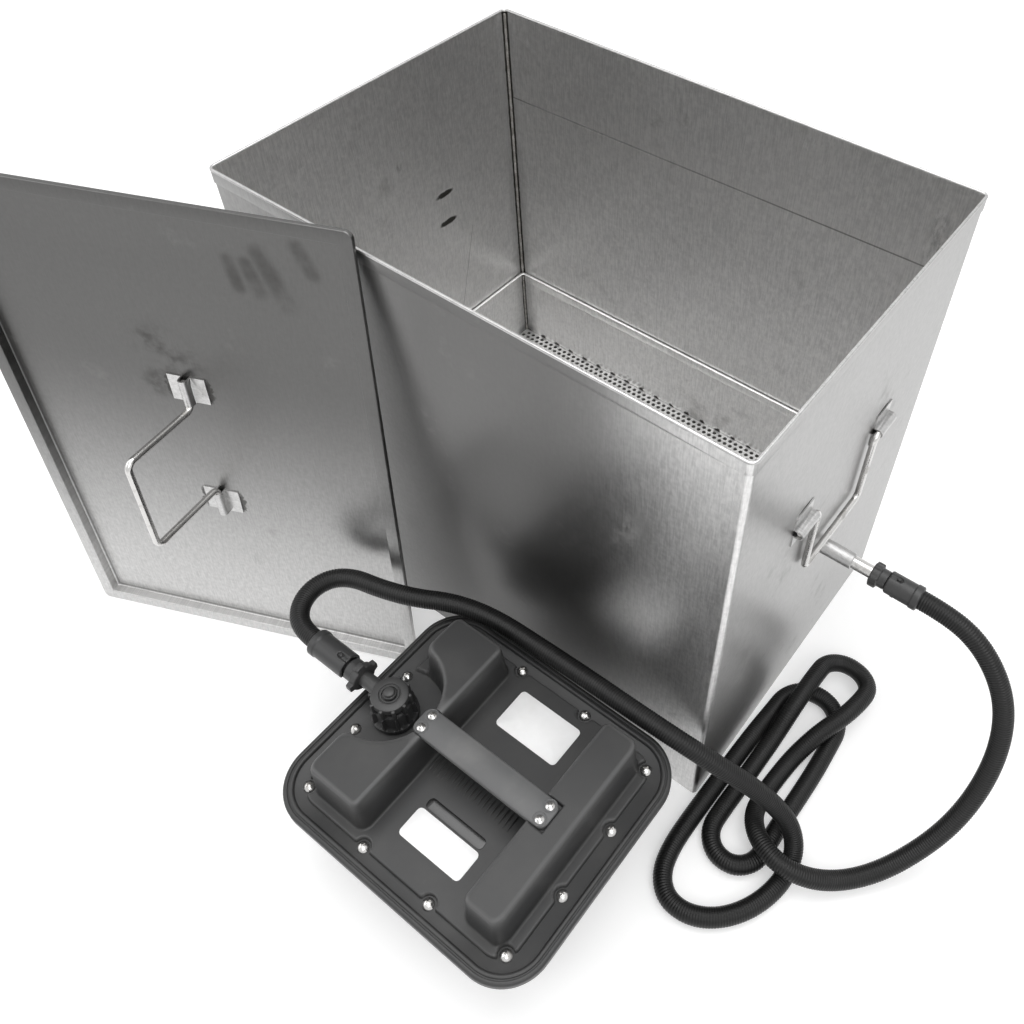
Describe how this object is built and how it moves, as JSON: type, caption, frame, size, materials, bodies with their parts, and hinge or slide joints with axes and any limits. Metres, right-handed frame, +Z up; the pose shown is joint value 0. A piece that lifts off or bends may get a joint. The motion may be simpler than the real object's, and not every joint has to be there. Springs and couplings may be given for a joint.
{
  "type": "steam wax melter",
  "caption": "Rectangular stainless steam wax melter with lift-out sieve basket, leaning lid with bail handle, and a plastic steam generator feeding it through a ribbed hose.",
  "frame": {"origin": "centre of the melting tank's base, on the floor", "axes": "+Z up, +X along the tank's long side towards the steam inlet, -Y out of the tank's front wall, where the lid leans and the generator stands"},
  "size_m": [0.8741, 0.606, 0.5031],
  "materials": {
    "brushed_stainless": "brushed sheet, slightly smudged",
    "polished_rod": "polished round bar",
    "black_plastic": "fine-grained moulded plastic",
    "cap_plastic": "satin moulded plastic",
    "button_plastic": "smooth moulded plastic",
    "foot_rubber": "matt rubber",
    "seal_rubber": "matt silicone rubber",
    "hose_rubber": "satin ribbed rubber",
    "element_metal": "plain rolled plate",
    "heater_metal": "heat-darkened tube",
    "screw_metal": "bright domed screws"
  },
  "bodies": {
    "melter": {"basket_rails": "brushed_stainless", "carry_strap": "black_plastic", "cover_gasket": "seal_rubber", "element_plate": "element_metal", "filler_neck": "cap_plastic", "flange_screws": "screw_metal", "generator_cover": "black_plastic", "generator_feet": "foot_rubber", "generator_hose_cuff": "cap_plastic", "generator_tank": "black_plastic", "heating_element": "heater_metal", "hose_hank": "hose_rubber", "inlet_hose_cuff": "cap_plastic", "left_handle_brackets": "brushed_stainless", "relief_spring": "screw_metal", "right_handle_brackets": "brushed_stainless", "steam_elbow": "cap_plastic", "steam_hose_feed": "hose_rubber", "steam_hose_return": "hose_rubber", "steam_inlet_pipe": "brushed_stainless", "strap_screws": "screw_metal", "tank_floor": "brushed_stainless", "tank_wrap": "brushed_stainless", "thermostat": "cap_plastic", "wax_outlet_spout": "brushed_stainless"},
    "basket": {"sieve_basket": "brushed_stainless", "sieve_plate": "brushed_stainless"},
    "lid": {"lid_panel": "brushed_stainless", "lid_handle_brackets": "brushed_stainless"},
    "lid_handle": {"lid_bail": "polished_rod"},
    "right_handle": {"right_bail": "polished_rod"},
    "left_handle": {"left_bail": "polished_rod"},
    "cap_ring": {"cap_ring": "cap_plastic"},
    "relief_button": {"relief_button": "button_plastic"},
    "generator_nut": {"generator_union_nut": "cap_plastic"},
    "inlet_nut": {"inlet_union_nut": "cap_plastic"}
  },
  "joints": [
    {"name": "lid_slide", "type": "slide", "parent": "melter", "child": "lid", "axis": [-0.9164, -0.4004, 0], "range_m": [0, 0.25]},
    {"name": "lid_bail_hinge", "type": "hinge", "parent": "lid", "child": "lid_handle", "pos_m": [-0.23344, -0.27259, 0.25121], "axis": [0.046, -0.1053, -0.9934], "range_deg": [-96, 79]},
    {"name": "right_bail_hinge", "type": "hinge", "parent": "melter", "child": "right_handle", "pos_m": [0.254, 0, 0.316], "axis": [0, -1, 0], "range_deg": [0, 175]},
    {"name": "left_bail_hinge", "type": "hinge", "parent": "melter", "child": "left_handle", "pos_m": [-0.254, 0, 0.316], "axis": [0, 1, 0], "range_deg": [0, 175]},
    {"name": "basket_lift", "type": "slide", "parent": "melter", "child": "basket", "axis": [0, 0, 1], "range_m": [0, 0.43]},
    {"name": "cap_ring_turn", "type": "hinge", "parent": "melter", "child": "cap_ring", "pos_m": [0.017, -0.314, 0.12], "axis": [0, 0, 1], "range_deg": [0, 540]},
    {"name": "relief_lift", "type": "slide", "parent": "melter", "child": "relief_button", "axis": [0, 0, 1], "range_m": [0, 0.002], "stiffness_N_per_m": 200, "deforming": ["relief_spring"]},
    {"name": "generator_nut_turn", "type": "hinge", "parent": "melter", "child": "generator_nut", "pos_m": [-0.023, -0.314, 0.1395], "axis": [-1, 0, 0], "range_deg": [0, 540]},
    {"name": "inlet_nut_turn", "type": "hinge", "parent": "melter", "child": "inlet_nut", "pos_m": [0.3067, 0, 0.214], "axis": [1, 0, 0], "range_deg": [0, 540]}
  ]
}
